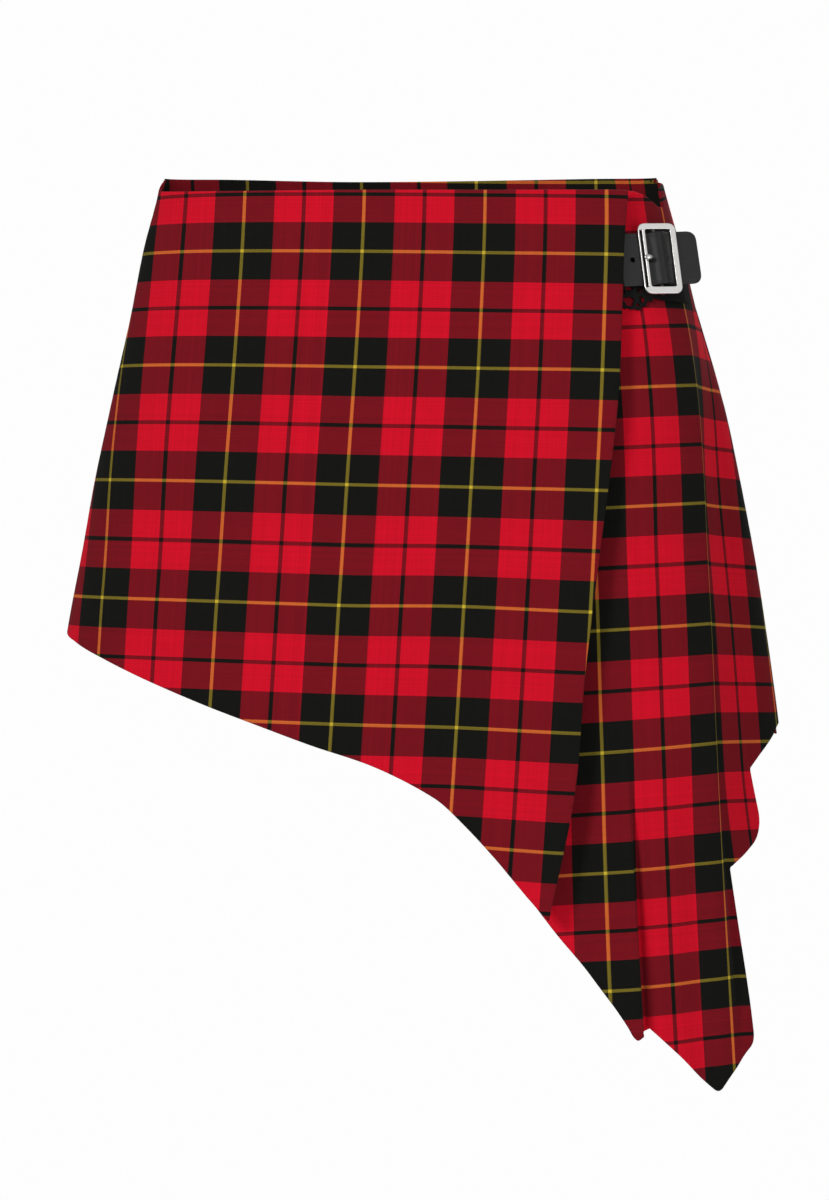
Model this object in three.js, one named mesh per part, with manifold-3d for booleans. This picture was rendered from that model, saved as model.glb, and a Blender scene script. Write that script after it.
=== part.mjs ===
// Asymmetric wrap kilt skirt in tartan cloth, filled out as when worn.
// Millimetres, +Z up, +Y to the back, origin at the centre of the waist opening.
import * as THREE from "three";
import Module from "manifold-3d";
import { mergeVertices } from "three/addons/utils/BufferGeometryUtils.js";

// ---------------------------------------------------------------- driving dimensions
const CLOTH = 1.6; // thickness of the woven cloth
const SEAM_GAP = 0.3; // clearance between pieces that are sewn or rest together
const SIDE_SEAM = 0.5; // clearance between the panels at the side seams
const SEAM_WRAP = 6; // how far the side seams sit behind the widest point

// The worn form: one row for each height. Each ring is four quarter ellipses that meet at its
// leftmost, rightmost, frontmost and backmost points. crease is the x of the side fold.
const SECTIONS = [
  { z: 18, left: -157, right: 152, sideY: 3, frontX: 115, frontY: -50, backX: -40, backY: 39, crease: 147 },
  { z: 0, left: -161.5, right: 156.5, sideY: 0, frontX: 115, frontY: -55, backX: -40, backY: 42, crease: 149.5 },
  { z: -31, left: -169.5, right: 165, sideY: -3, frontX: 114.5, frontY: -64, backX: -38, backY: 52, crease: 155 },
  { z: -78, left: -178.5, right: 178.5, sideY: -8, frontX: 113, frontY: -76, backX: -34, backY: 66, crease: 165.5 },
  { z: -125, left: -188, right: 191.3, sideY: -12, frontX: 111.5, frontY: -88, backX: -30, backY: 80, crease: 171.3 },
  { z: -171, left: -197.5, right: 200, sideY: -15, frontX: 110, frontY: -97, backX: -27, backY: 92, crease: 174 },
  { z: -217, left: -205.3, right: 207.6, sideY: -17, frontX: 109, frontY: -104, backX: -25, backY: 101, crease: 175.5 },
  { z: -263, left: -214, right: 214.3, sideY: -20, frontX: 108, frontY: -110, backX: -25, backY: 108, crease: 177.5 },
  { z: -325, left: -223, right: 223, sideY: -20, frontX: 107, frontY: -116, backX: -25, backY: 116, crease: 179.7 },
  { z: -400, left: -232, right: 231, sideY: -20, frontX: 106, frontY: -122, backX: -25, backY: 122, crease: 182.8 },
  { z: -480, left: -239, right: 237, sideY: -20, frontX: 105, frontY: -127, backX: -25, backY: 127, crease: 186.7 },
  { z: -560, left: -245, right: 242, sideY: -20, frontX: 104, frontY: -131, backX: -25, backY: 131, crease: 191 },
];
const RING_STEPS = 32; // points in each quarter of a ring

// Front apron: its free wrap edge and its hem, as they hang, seen from the front.
const WRAP_EDGE = [
  { z: 0, x: 127.4 },
  { z: -30, x: 124.8 },
  { z: -62, x: 123.6 },
  { z: -130, x: 120 },
  { z: -220, x: 109.4 },
  { z: -290, x: 100.6 },
  { z: -362, x: 94 },
  { z: -434, x: 79.2 },
];
const APRON_HEM = [
  { x: -212.5, z: -266 },
  { x: -207, z: -273 },
  { x: -184.5, z: -284.5 },
  { x: -159, z: -296.5 },
  { x: -125, z: -310.6 },
  { x: -95, z: -321.8 },
  { x: -62, z: -333.9 },
  { x: -23, z: -347 },
  { x: 12, z: -365 },
  { x: 27, z: -378.3 },
  { x: 47.5, z: -399.5 },
  { x: 66, z: -421.5 },
  { x: 78.8, z: -436 },
];
// How far the apron stands off the layer under it, along the wrap edge.
const APRON_LIFT = [
  { z: 0, lift: 4.6 },
  { z: -28, lift: 6.6 },
  { z: -62, lift: 7.2 },
  { z: -120, lift: 9.5 },
  { z: -200, lift: 12 },
  { z: -320, lift: 14 },
  { z: -440, lift: 16 },
];
const LIFT_UNDER = 2.6; // stand-off over the hidden part of the side panel
const LIFT_RUN = 90; // cloth over which the lift grows from there to the wrap edge
const LIFT_SEAM_RUN = 70; // cloth over which it falls to nothing at the left seam
// The apron's top edge rises towards the left seam; from is the distance from that seam.
const APRON_TOP = [
  { from: 0, rise: 10 },
  { from: 14, rise: 4.6 },
  { from: 60, rise: 2.2 },
  { from: 140, rise: 1.2 },
  { from: 240, rise: 0.3 },
  { from: 350, rise: 0 },
];

// Side panel: it starts hidden under the apron and runs round the right side to the back.
// across is measured on the cloth from the side fold, z is the height of the edge.
const SIDE_HEM = [
  { across: -212, z: -330 },
  { across: -175, z: -352 },
  { across: -143, z: -392 },
  { across: -105.5, z: -445 },
  { across: -90.5, z: -463.5 },
  { across: -74, z: -487.5 },
  { across: -67.5, z: -498.5 },
  { across: -65, z: -505 },
  { across: -62, z: -507.5 },
  { across: -59, z: -504.8 },
  { across: -56.5, z: -502.2 },
  { across: -54, z: -499.5 },
  { across: -47.5, z: -505.5 },
  { across: -32.5, z: -519.5 },
  { across: -22.5, z: -529.5 },
  { across: -12, z: -538.5 },
  { across: -10, z: -539 },
  { across: -4.5, z: -533 },
  { across: 2, z: -526.5 },
  { across: 10.5, z: -518 },
  { across: 14.8, z: -513.5 },
  { across: 15.6, z: -505 },
  { across: 16, z: -408 },
  { across: 30, z: -401 },
  { across: 43, z: -394 },
  { across: 49, z: -384 },
  { across: 49.6, z: -350 },
  { across: 60, z: -339 },
  { across: 71, z: -329.5 },
  { across: 76.5, z: -324.5 },
  { across: 106, z: -322 },
];
const SIDE_TOP = [
  { across: -212, z: -1 },
  { across: -38, z: -0.8 },
  { across: -30, z: 0.4 },
  { across: -24, z: 0.2 },
  { across: -16, z: -1.6 },
  { across: -8, z: -5.5 },
  { across: -3.5, z: -7.6 },
  { across: 2.6, z: -7.8 },
  { across: 3.5, z: 2.5 },
  { across: 5, z: 4.6 },
  { across: 12, z: 7.2 },
  { across: 24, z: 9.5 },
  { across: 40, z: 13 },
];
// Folds that stand out from the form (height > 0) or sink into it (height < 0). left and right
// are the widths of the two flanks, and a crisp fold breaks sharply at its left foot. The fold
// grows from starts to full and dies away from fades to gone. A flank whose width changes with
// height is a table.
const FOLD_FLANK = [
  { z: -60, width: 34 },
  { z: -170, width: 38 },
  { z: -300, width: 60 },
  { z: -480, width: 64 },
];
const CRISPNESS = 3; // how sharply a crisp fold breaks at its left foot
const SIDE_FOLDS = [
  { at: 30, left: 30, right: FOLD_FLANK, height: -13, crisp: true, starts: -20, full: -200, fades: -340, gone: -530 },
  { at: 76, left: 22, right: 20, height: 2, crisp: false, starts: -120, full: -300, fades: -500, gone: -560 },
  { at: -59, left: 38, right: 3.5, height: 7, crisp: false, starts: -300, full: -460, fades: -550, gone: -600 },
  { at: -20, left: 18, right: 16, height: -2.2, crisp: false, starts: -300, full: -420, fades: -550, gone: -600 },
];

// Back panel: hem and top edge from the right seam (0) to the left seam (1), and its flutes.
const BACK_HEM = [
  { share: 0, z: -330.5 },
  { share: 0.25, z: -320 },
  { share: 0.5, z: -305 },
  { share: 0.75, z: -288 },
  { share: 1, z: -266 },
];
const BACK_TOP = [
  { share: 0, z: 14.5 },
  { share: 0.15, z: 15.8 },
  { share: 0.6, z: 15.3 },
  { share: 0.85, z: 15.8 },
  { share: 1, z: 13 },
];
const BACK_FLUTES = [
  { share: 0.1, half: 0.07, height: 5 },
  { share: 0.24, half: 0.06, height: -4 },
  { share: 0.37, half: 0.08, height: 7 },
  { share: 0.52, half: 0.06, height: -5 },
  { share: 0.66, half: 0.09, height: 6 },
  { share: 0.82, half: 0.06, height: -4 },
  { share: 0.92, half: 0.05, height: 3 },
];
const FLUTE_STARTS = -40;
const FLUTE_FULL = -310;

// Strap and buckle, placed in the flat plane that touches the side panel at STRAP_AT.
const STRAP_AT = { x: 128, z: -43 };
const STRAP_TURN = 4; // degrees the strap climbs to the right
const STRAP_DROP = -1.3;
const STRAP = { start: -6.5, end: 45.7, slant: -0.6, height: 33.6, thick: 1.8, corner: 6.5, lift: 2.7 };
const HOLES = { first: 2.4, prong: 13.1, radius: 1.3, prongRadius: 2.1 };
const PIN_HOLES = { third: 24.9, fourth: 36.1, radius: 0.55 };
const BUCKLE = { at: 19.1, up: -0.6, width: 24.4, height: 44.7, corner: 5, thick: 2, tilt: -2 };
const BANDS = { left: 4.6, right: 3.6, top: 3.7, bottom: 4.5 };
const SLOT = { inset: 1, width: 1.7, half: 18.6 }; // long slot in the left band
const WINDOW_CORNER = 1.6;
const SLOT_CORNER = 0.8;
const BAR = { width: 2, thick: 1.4, reach: 21.6, post: 1.6 };
const PRONG = { radius: 0.9, tipLong: 2.3, tipWide: 1.55, tipThick: 1.2, tipOver: 0.6 };
const PATCH = { left: -49, right: 14.5, thick: 1.2, lift: 0.5, corner: 4 };
const PATCH_EDGE = [
  { across: -49, top: -33, bottom: -73 },
  { across: -34, top: -33, bottom: -73 },
  { across: -29, top: -20.5, bottom: -67.5 },
  { across: 14.5, top: -20.5, bottom: -67.5 },
];

// Mesh density.
const APRON_COLUMN = 18; // widest column of the front apron's grid
const APRON_ROWS = 15;
const SIDE_COLUMN = 15;
const SIDE_ROWS = 20;
const BACK_COLUMNS = 30;
const BACK_ROWS = 9;

const wasm = await Module();
wasm.setup();

// ---------------------------------------------------------------- small helpers
const { lerp, clamp } = THREE.MathUtils;

// Smooth curve through a table at x, from column key to column value.
function follow(table, key, value, x) {
  const rising = table[table.length - 1][key] > table[0][key];
  const last = table.length - 2;
  let i = 0;
  while (i < last && (rising ? x > table[i + 1][key] : x < table[i + 1][key])) i++;
  const a = table[Math.max(i - 1, 0)];
  const b = table[i];
  const c = table[i + 1];
  const d = table[Math.min(i + 2, last + 1)];
  const t = clamp((x - b[key]) / (c[key] - b[key]), 0, 1);
  const span = c[key] - b[key];
  const slopeB = ((c[value] - a[value]) / (c[key] - a[key])) * span;
  const slopeC = ((d[value] - b[value]) / (d[key] - b[key])) * span;
  const t2 = t * t;
  const t3 = t2 * t;
  return (
    (2 * t3 - 3 * t2 + 1) * b[value] +
    (t3 - 2 * t2 + t) * slopeB +
    (3 * t2 - 2 * t3) * c[value] +
    (t3 - t2) * slopeC
  );
}

// Straight lines through a table.
function along(table, key, value, x) {
  const rising = table[table.length - 1][key] > table[0][key];
  let i = 0;
  while (i < table.length - 2 && (rising ? x > table[i + 1][key] : x < table[i + 1][key])) i++;
  const t = clamp((x - table[i][key]) / (table[i + 1][key] - table[i][key]), 0, 1);
  return lerp(table[i][value], table[i + 1][value], t);
}

function smooth(t) {
  const s = clamp(t, 0, 1);
  return s * s * (3 - 2 * s);
}

// ---------------------------------------------------------------- the worn form
// The ring at height z as points with their arc length, from the frontmost point to the right
// and round the back, closing on the frontmost point again.
function makeRing(z) {
  const row = {};
  for (const key of Object.keys(SECTIONS[0])) row[key] = follow(SECTIONS, "z", key, z);
  const quarters = [
    { x0: row.frontX, y0: row.sideY, ax: row.right - row.frontX, ay: row.frontY - row.sideY, from: "y" },
    { x0: row.backX, y0: row.sideY, ax: row.right - row.backX, ay: row.backY - row.sideY, from: "x" },
    { x0: row.backX, y0: row.sideY, ax: row.left - row.backX, ay: row.backY - row.sideY, from: "y" },
    { x0: row.frontX, y0: row.sideY, ax: row.left - row.frontX, ay: row.frontY - row.sideY, from: "x" },
  ];
  const points = [];
  const corners = [];
  for (const q of quarters) {
    corners.push(points.length);
    for (let i = 0; i < RING_STEPS; i++) {
      const angle = (i / RING_STEPS) * (Math.PI / 2);
      const major = Math.cos(angle);
      const minor = Math.sin(angle);
      const onX = q.from === "y" ? minor : major;
      const onY = q.from === "y" ? major : minor;
      points.push(new THREE.Vector2(q.x0 + q.ax * onX, q.y0 + q.ay * onY));
    }
  }
  points.push(points[0].clone());
  const arc = [0];
  for (let i = 1; i < points.length; i++) arc.push(arc[i - 1] + points[i].distanceTo(points[i - 1]));
  const around = arc[arc.length - 1];
  const rightmost = arc[corners[1]];
  const leftmost = arc[corners[3]] - around;
  return { row, points, arc, around, rightmost, leftmost };
}

const ringCache = new Map();
function ring(z) {
  const key = z.toFixed(3);
  if (!ringCache.has(key)) ringCache.set(key, makeRing(z));
  return ringCache.get(key);
}

// Point of the ring at arc length w from the frontmost point, moved out by offset.
function onForm(z, w, offset) {
  const { points, arc, around } = ring(z);
  const target = ((w % around) + around) % around;
  let low = 0;
  let high = arc.length - 1;
  while (high - low > 1) {
    const middle = (low + high) >> 1;
    if (arc[middle] <= target) low = middle;
    else high = middle;
  }
  const t = (target - arc[low]) / (arc[high] - arc[low]);
  const count = points.length - 1;
  const tangentAt = (i) => points[(i + 1) % count].clone().sub(points[(i - 1 + count) % count]).normalize();
  const tangent = tangentAt(low % count).lerp(tangentAt(high % count), t).normalize();
  const x = lerp(points[low].x, points[high].x, t) + tangent.y * offset;
  const y = lerp(points[low].y, points[high].y, t) - tangent.x * offset;
  return new THREE.Vector3(x, y, z);
}

// Arc length at which the front half of the ring passes x.
function arcAtX(z, x) {
  const { leftmost, rightmost } = ring(z);
  let low = leftmost;
  let high = rightmost;
  for (let i = 0; i < 40; i++) {
    const middle = (low + high) / 2;
    if (onForm(z, middle, 0).x < x) low = middle;
    else high = middle;
  }
  return (low + high) / 2;
}

// ---------------------------------------------------------------- closed walls from grids
// A closed wall from two grids of points, grid[column][row], the outer and the inner face.
function wall(outer, inner) {
  const columns = outer.length;
  const rows = outer[0].length;
  const position = [];
  for (const face of [outer, inner]) for (const column of face) for (const p of column) position.push(p.x, p.y, p.z);
  const id = (face, i, j) => face * columns * rows + i * rows + j;
  const index = [];
  const quad = (a, b, c, d) => index.push(a, b, c, a, c, d);
  for (let i = 0; i < columns - 1; i++) {
    for (let j = 0; j < rows - 1; j++) {
      quad(id(0, i, j), id(0, i, j + 1), id(0, i + 1, j + 1), id(0, i + 1, j));
      quad(id(1, i, j), id(1, i + 1, j), id(1, i + 1, j + 1), id(1, i, j + 1));
    }
    quad(id(0, i, 0), id(0, i + 1, 0), id(1, i + 1, 0), id(1, i, 0));
    quad(id(0, i, rows - 1), id(1, i, rows - 1), id(1, i + 1, rows - 1), id(0, i + 1, rows - 1));
  }
  for (let j = 0; j < rows - 1; j++) {
    quad(id(0, 0, j), id(1, 0, j), id(1, 0, j + 1), id(0, 0, j + 1));
    quad(id(0, columns - 1, j), id(0, columns - 1, j + 1), id(1, columns - 1, j + 1), id(1, columns - 1, j));
  }
  const geometry = new THREE.BufferGeometry();
  geometry.setAttribute("position", new THREE.Float32BufferAttribute(position, 3));
  geometry.setIndex(index);
  return geometry;
}

// Columns for a panel: its edge table refined so that no column is wider than widest.
function refine(edge, key, widest) {
  const columns = [edge[0]];
  for (let i = 1; i < edge.length; i++) {
    const from = edge[i - 1];
    const to = edge[i];
    const parts = Math.max(1, Math.ceil(Math.abs(to[key] - from[key]) / widest));
    for (let k = 1; k <= parts; k++) {
      const column = {};
      for (const name of Object.keys(to)) column[name] = lerp(from[name], to[name], k / parts);
      columns.push(column);
    }
  }
  return columns;
}

// A wall whose columns run from a top edge to a hem on the form.
function panel(columns, rows, topOf, place) {
  const faces = [0, -CLOTH].map((offset) =>
    columns.map((column) => {
      const line = [];
      for (let j = 0; j <= rows; j++) line.push(place(column, lerp(topOf(column), column.z, j / rows), offset));
      return line;
    }),
  );
  return wall(faces[0], faces[1]);
}

// ---------------------------------------------------------------- front apron
function apronLimits(z) {
  const left = ring(z).leftmost - SEAM_WRAP;
  const right = arcAtX(z, follow(WRAP_EDGE, "z", "x", z));
  return { left, right };
}

function apronLift(z, w) {
  const { left, right } = apronLimits(z);
  const edge = follow(APRON_LIFT, "z", "lift", z);
  const nearEdge = smooth(1 - (right - w) / LIFT_RUN);
  const offSeam = smooth((w - left) / LIFT_SEAM_RUN);
  return lerp(LIFT_UNDER + CLOTH, edge + CLOTH, nearEdge) * offSeam;
}

function frontApron() {
  const columns = refine(APRON_HEM, "x", APRON_COLUMN).map(({ x, z }) => {
    const { left, right } = apronLimits(z);
    return { share: clamp((arcAtX(z, x) - left) / (right - left), 0, 1), z };
  });
  columns[0].share = 0;
  columns[columns.length - 1].share = 1;
  const top = ({ share }) => {
    const { left, right } = apronLimits(0);
    return follow(APRON_TOP, "from", "rise", share * (right - left));
  };
  return panel(columns, APRON_ROWS, top, ({ share }, z, offset) => {
    const { left, right } = apronLimits(z);
    const w = lerp(left, right, share);
    return onForm(z, w, apronLift(z, w) + offset);
  });
}

// ---------------------------------------------------------------- side panel
const foldLine = (z) => arcAtX(z, follow(SECTIONS, "z", "crease", z));

function foldHeight(folds, across, z) {
  let height = 0;
  for (const fold of folds) {
    const grown = smooth((fold.starts - z) / (fold.starts - fold.full));
    const left = smooth((z - fold.gone) / (fold.fades - fold.gone));
    const offset = across - fold.at;
    const right = Array.isArray(fold.right) ? follow(fold.right, "z", "width", z) : fold.right;
    const t = offset < 0 ? -offset / fold.left : offset / right;
    if (t >= 1) continue;
    const soft = 0.5 * (1 + Math.cos(Math.PI * t));
    const crisp = 1 - t ** CRISPNESS;
    height += fold.height * grown * left * (fold.crisp && offset < 0 ? crisp : soft);
  }
  return height;
}

// Cloth from the side fold to the right seam at height z.
const sideReach = (z) => ring(z).rightmost + SEAM_WRAP - foldLine(z);

function sidePoint(across, z, offset) {
  return onForm(z, foldLine(z) + across, foldHeight(SIDE_FOLDS, across, z) + offset);
}

function sidePanel() {
  const hemReach = sideReach(SIDE_HEM[SIDE_HEM.length - 1].z);
  const rows = SIDE_HEM.map((row) => ({ across: Math.min(row.across, hemReach), z: row.z }));
  const columns = refine(rows, "across", SIDE_COLUMN).map(({ across, z }) => ({
    across,
    share: across / sideReach(z),
    z,
  }));
  columns[columns.length - 1].share = 1;
  const acrossAt = (column, z) => (column.across < 0 ? column.across : column.share * sideReach(z));
  const top = (column) => along(SIDE_TOP, "across", "z", acrossAt(column, 0));
  return panel(columns, SIDE_ROWS, top, (column, z, offset) => sidePoint(acrossAt(column, z), z, offset));
}

// ---------------------------------------------------------------- back panel
function backPanel() {
  const columns = [];
  for (let i = 0; i <= BACK_COLUMNS; i++) {
    const share = i / BACK_COLUMNS;
    columns.push({ share, z: follow(BACK_HEM, "share", "z", share) });
  }
  const top = ({ share }) => follow(BACK_TOP, "share", "z", share);
  return panel(columns, BACK_ROWS, top, ({ share }, z, offset) => {
    const { around, rightmost, leftmost } = ring(z);
    const from = rightmost + SEAM_WRAP + SIDE_SEAM;
    const to = leftmost + around - SEAM_WRAP - SIDE_SEAM;
    const grown = smooth((FLUTE_STARTS - z) / (FLUTE_STARTS - FLUTE_FULL));
    let height = 0;
    for (const flute of BACK_FLUTES) {
      const t = Math.abs(share - flute.share) / flute.half;
      if (t < 1) height += flute.height * 0.5 * (1 + Math.cos(Math.PI * t));
    }
    return onForm(z, lerp(from, to, share), height * grown + offset);
  });
}

// ---------------------------------------------------------------- strap and buckle
// Plane of the strap: x along the strap, y up its height, z out of the cloth.
function strapPlane() {
  const w = arcAtX(STRAP_AT.z, STRAP_AT.x) - foldLine(STRAP_AT.z);
  const step = 4;
  const origin = sidePoint(w, STRAP_AT.z, 0);
  const alongStrap = sidePoint(w + step, STRAP_AT.z, 0).sub(sidePoint(w - step, STRAP_AT.z, 0)).normalize();
  const above = arcAtX(STRAP_AT.z + step, STRAP_AT.x) - foldLine(STRAP_AT.z + step);
  const below = arcAtX(STRAP_AT.z - step, STRAP_AT.x) - foldLine(STRAP_AT.z - step);
  const high = sidePoint(above, STRAP_AT.z + step, 0);
  const low = sidePoint(below, STRAP_AT.z - step, 0);
  const out = alongStrap.clone().cross(high.sub(low)).normalize();
  const up = out.clone().cross(alongStrap);
  origin.addScaledVector(up, STRAP_DROP);
  const turned = new THREE.Matrix4().makeRotationZ(THREE.MathUtils.degToRad(STRAP_TURN));
  return new THREE.Matrix4().makeBasis(alongStrap, up, out).setPosition(origin).multiply(turned);
}

// Outline with rounded corners between the given corner points, in turning order.
function roundedShape(corners, radius) {
  const shape = new THREE.Shape();
  const count = corners.length;
  for (let i = 0; i < count; i++) {
    const here = corners[i];
    const before = corners[(i - 1 + count) % count].clone().sub(here).setLength(radius).add(here);
    const after = corners[(i + 1) % count].clone().sub(here).setLength(radius).add(here);
    if (i === 0) shape.moveTo(before.x, before.y);
    else shape.lineTo(before.x, before.y);
    shape.quadraticCurveTo(here.x, here.y, after.x, after.y);
  }
  shape.closePath();
  return shape;
}

function rectangle(left, right, bottom, top) {
  return [
    new THREE.Vector2(left, bottom),
    new THREE.Vector2(right, bottom),
    new THREE.Vector2(right, top),
    new THREE.Vector2(left, top),
  ];
}

function plate(shape, from, thick) {
  const geometry = new THREE.ExtrudeGeometry(shape, { depth: thick, bevelEnabled: false, curveSegments: 5 });
  return geometry.translate(0, 0, from);
}

function roundHole(x, radius) {
  const path = new THREE.Path();
  path.absarc(x, 0, radius, 0, 2 * Math.PI, true);
  return path;
}

function strap() {
  const half = STRAP.height / 2;
  const outline = [
    new THREE.Vector2(STRAP.start, -half),
    new THREE.Vector2(STRAP.end + STRAP.slant, -half),
    new THREE.Vector2(STRAP.end, half),
    new THREE.Vector2(STRAP.start, half),
  ];
  const shape = roundedShape(outline, STRAP.corner);
  for (const x of [PIN_HOLES.third, PIN_HOLES.fourth]) shape.holes.push(roundHole(x, PIN_HOLES.radius));
  shape.holes.push(roundHole(HOLES.first, HOLES.radius));
  shape.holes.push(roundHole(HOLES.prong, HOLES.prongRadius));
  return plate(shape, STRAP.lift, STRAP.thick);
}

const FRAME_BACK = STRAP.lift + STRAP.thick + SEAM_GAP;
const FRAME_FRONT = FRAME_BACK + BUCKLE.thick;

function buckleFrame() {
  const w = BUCKLE.width / 2;
  const h = BUCKLE.height / 2;
  const shape = roundedShape(rectangle(-w, w, -h, h), BUCKLE.corner);
  const window = rectangle(-w + BANDS.left, w - BANDS.right, -h + BANDS.bottom, h - BANDS.top);
  shape.holes.push(roundedShape(window, WINDOW_CORNER));
  const slot = rectangle(-w + SLOT.inset, -w + SLOT.inset + SLOT.width, -SLOT.half, SLOT.half);
  shape.holes.push(roundedShape(slot, SLOT_CORNER));
  const geometry = plate(shape, FRAME_BACK, BUCKLE.thick);
  geometry.rotateZ(THREE.MathUtils.degToRad(BUCKLE.tilt));
  return geometry.translate(BUCKLE.at, BUCKLE.up, 0);
}

// The bar behind the strap, with a post at each end up to the back of the frame.
function buckleBar() {
  const back = STRAP.lift - SEAM_GAP - BAR.thick;
  const front = back + BAR.thick;
  const tip = FRAME_BACK - SEAM_GAP;
  const inner = BAR.reach - BAR.post;
  const shape = new THREE.Shape();
  shape.moveTo(-BAR.reach, back);
  shape.lineTo(BAR.reach, back);
  shape.lineTo(BAR.reach, tip);
  shape.lineTo(inner, tip);
  shape.lineTo(inner, front);
  shape.lineTo(-inner, front);
  shape.lineTo(-inner, tip);
  shape.lineTo(-BAR.reach, tip);
  shape.closePath();
  const geometry = new THREE.ExtrudeGeometry(shape, { depth: BAR.width, bevelEnabled: false });
  // Shape x runs up the bar and shape y runs out of the cloth.
  const turn = new THREE.Matrix4().makeBasis(
    new THREE.Vector3(0, 1, 0),
    new THREE.Vector3(0, 0, 1),
    new THREE.Vector3(1, 0, 0),
  );
  geometry.applyMatrix4(turn);
  return geometry.translate(BUCKLE.at - BAR.width / 2, BUCKLE.up, 0);
}

function toSolid(geometry) {
  const bare = geometry.clone();
  bare.deleteAttribute("normal");
  bare.deleteAttribute("uv");
  const merged = mergeVertices(bare, 1e-4);
  const mesh = new wasm.Mesh({
    numProp: 3,
    vertProperties: new Float32Array(merged.attributes.position.array),
    triVerts: new Uint32Array(merged.index.array),
  });
  return new wasm.Manifold(mesh);
}

function fromSolid(solid) {
  const mesh = solid.getMesh();
  const geometry = new THREE.BufferGeometry();
  geometry.setAttribute("position", new THREE.BufferAttribute(new Float32Array(mesh.vertProperties), 3));
  geometry.setIndex(new THREE.BufferAttribute(new Uint32Array(mesh.triVerts), 1));
  return geometry;
}

// The prong leaves the bar behind the strap, comes up through its hole and hooks over the left bar.
function buckleProng() {
  const behind = STRAP.lift - SEAM_GAP - PRONG.radius;
  const tipHeight = FRAME_FRONT + SEAM_GAP + PRONG.tipThick;
  const root = BUCKLE.at - BAR.width / 2 - SEAM_GAP;
  const route = new THREE.CatmullRomCurve3([
    new THREE.Vector3(root, 0, behind),
    new THREE.Vector3(HOLES.prong + 2 * PRONG.radius, 0, behind - 0.1),
    new THREE.Vector3(HOLES.prong + 0.2, 0, STRAP.lift + STRAP.thick / 2),
    new THREE.Vector3(HOLES.prong - 0.1, 0, FRAME_FRONT),
    new THREE.Vector3(HOLES.prong - PRONG.tipLong / 2, 0, tipHeight),
  ]);
  const section = new THREE.Shape();
  section.absarc(0, 0, PRONG.radius, 0, 2 * Math.PI, false);
  const options = { steps: 18, extrudePath: route, curveSegments: 5 };
  const rod = toSolid(new THREE.ExtrudeGeometry(section, options));
  const ball = new THREE.SphereGeometry(1, 14, 9);
  ball.scale(PRONG.tipLong, PRONG.tipWide, PRONG.tipThick);
  ball.translate(HOLES.prong - PRONG.tipLong + PRONG.tipOver, 0, tipHeight);
  return fromSolid(rod.add(toSolid(ball)));
}

// Leather patch sewn on the side panel behind the buckle; it is padded out to the bar.
function bucklePatch(plane) {
  const toPlane = plane.clone().invert();
  const columns = 16;
  const rows = 8;
  const roundEnd = (distance) => {
    const short = clamp(PATCH.corner - distance, 0, PATCH.corner);
    return PATCH.corner - Math.sqrt(PATCH.corner ** 2 - short ** 2);
  };
  const outer = [];
  const inner = [];
  for (let i = 0; i <= columns; i++) {
    const share = i / columns;
    const across = lerp(PATCH.left, PATCH.right, share);
    const inset = roundEnd(Math.min(across - PATCH.left, PATCH.right - across));
    const top = along(PATCH_EDGE, "across", "top", across) - inset;
    const bottom = along(PATCH_EDGE, "across", "bottom", across) + inset;
    const outerLine = [];
    const innerLine = [];
    for (let j = 0; j <= rows; j++) {
      const z = lerp(top, bottom, j / rows);
      const base = sidePoint(across, z, PATCH.lift);
      const face = sidePoint(across, z, PATCH.lift + PATCH.thick);
      const local = face.clone().applyMatrix4(toPlane);
      const nearBar = smooth(1.6 - Math.abs(local.x - BUCKLE.at) / 5) * smooth(2.4 - Math.abs(local.y) / 9);
      const room = STRAP.lift - 2 * SEAM_GAP - 2 * PRONG.radius - local.z;
      if (room > 0) face.add(base.clone().sub(face).normalize().multiplyScalar(-room * nearBar));
      outerLine.push(face);
      innerLine.push(base);
    }
    outer.push(outerLine);
    inner.push(innerLine);
  }
  return wall(outer, inner);
}

// ---------------------------------------------------------------- the garment
const tartan = new THREE.MeshStandardMaterial({ color: 0x8c1a24, roughness: 0.9, metalness: 0 });
const leather = new THREE.MeshStandardMaterial({ color: 0x17171a, roughness: 0.5, metalness: 0 });
const nickel = new THREE.MeshStandardMaterial({ color: 0xb9bbbd, roughness: 0.22, metalness: 1 });

const skirt = new THREE.Group();

function add(name, geometry, material, parent = skirt) {
  const mesh = new THREE.Mesh(geometry, material);
  mesh.name = name;
  parent.add(mesh);
}

add("front_apron", frontApron(), tartan);
add("side_panel", sidePanel(), tartan);
add("back_panel", backPanel(), tartan);

const plane = strapPlane();
add("buckle_patch", bucklePatch(plane), leather);

const fastening = new THREE.Group();
fastening.applyMatrix4(plane);
add("strap", strap(), leather, fastening);
add("buckle_frame", buckleFrame(), nickel, fastening);
add("buckle_bar", buckleBar(), nickel, fastening);
add("buckle_prong", buckleProng(), nickel, fastening);
skirt.add(fastening);

export default skirt;
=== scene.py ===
"""Looks of an asymmetric wrap kilt skirt in tartan cloth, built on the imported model's frame.

Lengths in the tables below are millimetres in the frame's axes: +Z up, +Y to the back, and the
origin at the centre of the waist opening. Meshes are made in metres."""

import math

import bpy
import numpy as np
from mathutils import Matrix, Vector
from mathutils.geometry import delaunay_2d_cdt


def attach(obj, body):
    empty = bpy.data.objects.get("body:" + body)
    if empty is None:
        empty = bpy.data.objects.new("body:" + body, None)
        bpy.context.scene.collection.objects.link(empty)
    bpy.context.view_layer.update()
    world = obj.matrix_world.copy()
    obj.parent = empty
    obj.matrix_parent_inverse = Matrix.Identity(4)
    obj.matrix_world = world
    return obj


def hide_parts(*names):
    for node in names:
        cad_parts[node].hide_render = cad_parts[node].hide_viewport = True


MM = 0.001
BODY = "root"

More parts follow.
